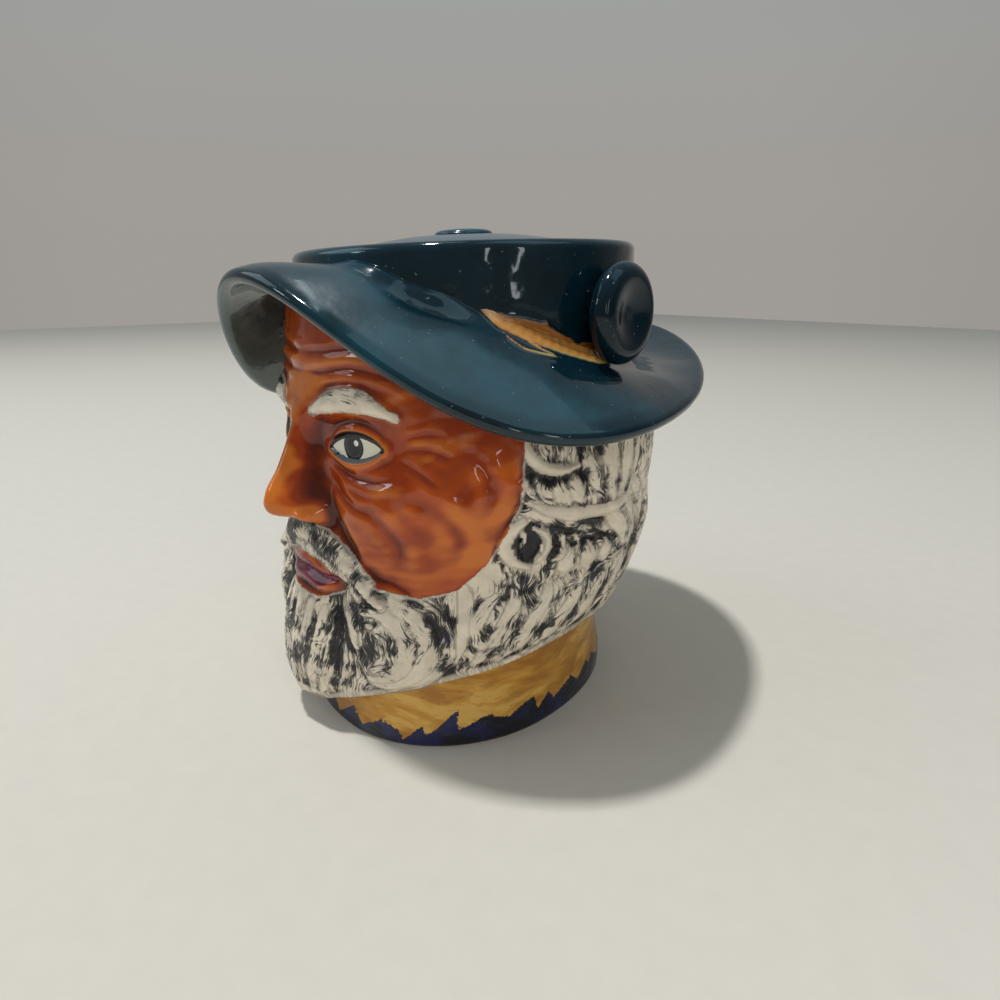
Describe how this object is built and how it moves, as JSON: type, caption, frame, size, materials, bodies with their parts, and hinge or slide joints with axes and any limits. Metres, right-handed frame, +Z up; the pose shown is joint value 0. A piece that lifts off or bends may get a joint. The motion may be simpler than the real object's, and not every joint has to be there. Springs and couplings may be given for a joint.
{
  "type": "figural ice bucket",
  "caption": "Figural ice bucket: a hollow glazed ceramic head with curled hair, a beard and a broad-brimmed hat, closed by an inset domed lid with a low knob.",
  "frame": {"origin": "middle of the flat underside, where the bucket rests", "axes": "+Z up out of the mouth, -Y the way the face looks, +X the figure's left, the side with the hat's button"},
  "size_m": [0.2241, 0.2204, 0.2095],
  "materials": {
    "painted_glaze": "hand-painted earthenware under a clear gloss glaze",
    "hat_glaze": "dark teal-green gloss glaze"
  },
  "bodies": {
    "root": {"bucket": "painted_glaze", "lid": "hat_glaze"}
  },
  "joints": []
}
